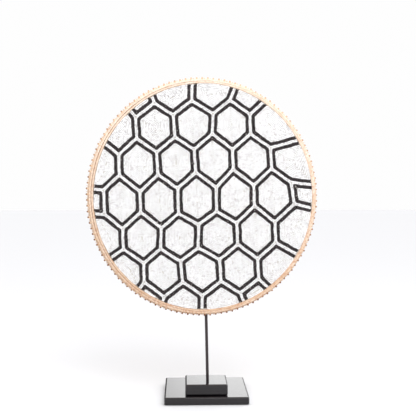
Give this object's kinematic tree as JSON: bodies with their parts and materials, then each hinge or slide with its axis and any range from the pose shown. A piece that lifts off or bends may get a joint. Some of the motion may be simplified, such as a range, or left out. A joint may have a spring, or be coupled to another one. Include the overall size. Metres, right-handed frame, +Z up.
{
  "type": "beaded shield on a display stand",
  "caption": "Round woven shield faced with white glass beads and a black double-line honeycomb, in a cane rim, on a slim rod and a stepped square base.",
  "frame": {"origin": "middle of the base plate's underside", "axes": "+Z up, the beaded face looks along -Y, +X to the right as the face is seen"},
  "size_m": [0.4995, 0.1786, 0.6939],
  "materials": {
    "black_lacquer": "high-gloss black lacquer",
    "black_steel": "satin black paint",
    "pale_cane": "split cane, natural satin",
    "dark_cane": "split cane, natural satin",
    "raffia_weave": "reed and raffia, dry and matte",
    "white_beads": "opaque white glass seed beads",
    "black_beads": "opaque black glass seed beads"
  },
  "bodies": {
    "root": {"base_plate": "black_lacquer", "base_block": "black_lacquer", "rod": "black_steel", "lower_rod_tie": "raffia_weave", "upper_rod_tie": "raffia_weave", "woven_disc": "raffia_weave", "front_hoop_outer": "pale_cane", "front_hoop_inner": "dark_cane", "back_hoop": "pale_cane", "bead_field": "white_beads", "cell_outline_1": "black_beads", "cell_outline_2": "black_beads", "cell_outline_3": "black_beads", "cell_outline_4": "black_beads", "cell_outline_5": "black_beads", "cell_outline_6": "black_beads", "cell_outline_7": "black_beads", "cell_outline_8": "black_beads", "cell_outline_9": "black_beads", "cell_outline_10": "black_beads", "cell_outline_11": "black_beads", "cell_outline_12": "black_beads", "cell_outline_13": "black_beads", "cell_outline_14": "black_beads", "cell_outline_15": "black_beads", "cell_outline_16": "black_beads", "cell_outline_17": "black_beads", "cell_outline_18": "black_beads", "cell_outline_19": "black_beads", "rim_cell_outline_1": "black_beads", "rim_cell_outline_2": "black_beads", "rim_cell_outline_3": "black_beads", "rim_cell_outline_4": "black_beads", "rim_cell_outline_5": "black_beads", "rim_cell_outline_6": "black_beads", "rim_cell_outline_7": "black_beads", "rim_cell_outline_8": "black_beads", "rim_cell_outline_9": "black_beads", "rim_cell_outline_10": "black_beads", "rim_cell_outline_11": "black_beads", "rim_cell_outline_12": "black_beads", "rim_cell_outline_13": "black_beads", "rim_cell_outline_14": "black_beads", "rim_cell_outline_15": "black_beads", "rim_cell_outline_16": "black_beads", "rim_cell_outline_17": "black_beads", "rim_cell_outline_18": "black_beads"}
  },
  "joints": []
}
